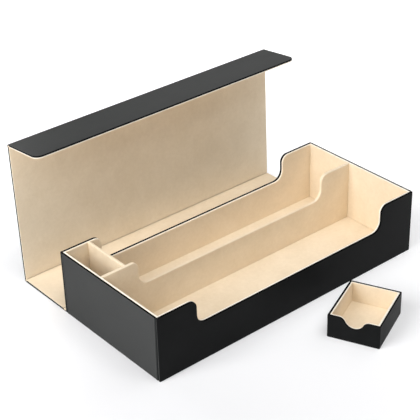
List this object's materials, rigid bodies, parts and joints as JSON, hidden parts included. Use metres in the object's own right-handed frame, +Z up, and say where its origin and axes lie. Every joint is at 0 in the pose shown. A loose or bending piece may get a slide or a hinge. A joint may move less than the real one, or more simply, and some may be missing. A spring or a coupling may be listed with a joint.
{
  "type": "card deck box",
  "caption": "Long lined card box with a notched front and dividers, a book-style cover hinged along the rear, and a small loose tray for dice or tokens",
  "frame": {"origin": "the centre of the box's underside, on the surface it rests on", "axes": "+X runs along the two card rows, to the right seen from the front; +Y points to the rear, where the cover is hinged; +Z is up"},
  "size_m": [0.4, 0.3908, 0.1948],
  "materials": {
    "leather": "black imitation leather with a fine grain, satin",
    "lining": "cream microfibre with a short soft nap, matte",
    "board": "grey-brown rigid board, uncoated, hidden by the skins",
    "magnet_steel": "nickel-plated magnet discs, hidden inside the boards"
  },
  "bodies": {
    "box": {"base_leather": "leather", "base_board": "board", "front_leather": "leather", "front_board": "board", "front_lining": "lining", "rear_leather": "leather", "rear_board": "board", "rear_lining": "lining", "left_leather": "leather", "left_board": "board", "left_lining": "lining", "right_leather": "leather", "right_board": "board", "right_lining": "lining", "front_row_floor_lining": "lining", "rear_row_floor_lining": "lining", "tray_bay_floor_lining": "lining", "long_divider_front_lining": "lining", "long_divider_board": "board", "long_divider_rear_lining": "lining", "cross_divider_left_lining": "lining", "cross_divider_board": "board", "cross_divider_right_lining": "lining", "front_magnet_left": "magnet_steel", "front_magnet_right": "magnet_steel"},
    "rear_crease": {"rear_crease_strip": "leather"},
    "spine": {"spine_leather": "leather", "spine_board": "board", "spine_lining": "lining"},
    "lid": {"lid_crease": "leather", "lid_leather": "leather", "lid_board": "board", "lid_lining": "lining"},
    "flap": {"flap_crease": "leather", "flap_leather": "leather", "flap_board": "board", "flap_lining": "lining", "flap_magnet_left": "magnet_steel", "flap_magnet_right": "magnet_steel"},
    "tray": {"tray_floor_leather": "leather", "tray_floor_board": "board", "tray_floor_lining": "lining", "tray_front_board": "board", "tray_rear_board": "board", "tray_left_board": "board", "tray_right_board": "board", "tray_leather_band": "leather", "tray_lining_band": "lining"}
  },
  "joints": [
    {"name": "rear_lower_fold", "type": "hinge", "parent": "box", "child": "rear_crease", "pos_m": [0, 0.09135, 0.0017], "axis": [1, 0, 0], "range_deg": [0, 45]},
    {"name": "rear_upper_fold", "type": "hinge", "parent": "rear_crease", "child": "spine", "pos_m": [0, 0.09335, 0.0017], "axis": [1, 0, 0], "range_deg": [0, 45]},
    {"name": "lid_hinge", "type": "hinge", "parent": "spine", "child": "lid", "pos_m": [0, 0.17654, 0.0017], "axis": [1, 0, 0], "range_deg": [-88.8, 1.2]},
    {"name": "flap_hinge", "type": "hinge", "parent": "lid", "child": "flap", "pos_m": [0, 0.18041, 0.18667], "axis": [1, 0, 0], "range_deg": [-85.1, 4.9]},
    {"name": "tray_lift", "type": "slide", "parent": "box", "child": "tray", "axis": [0, 0, 1], "range_m": [0, 0.12]}
  ]
}
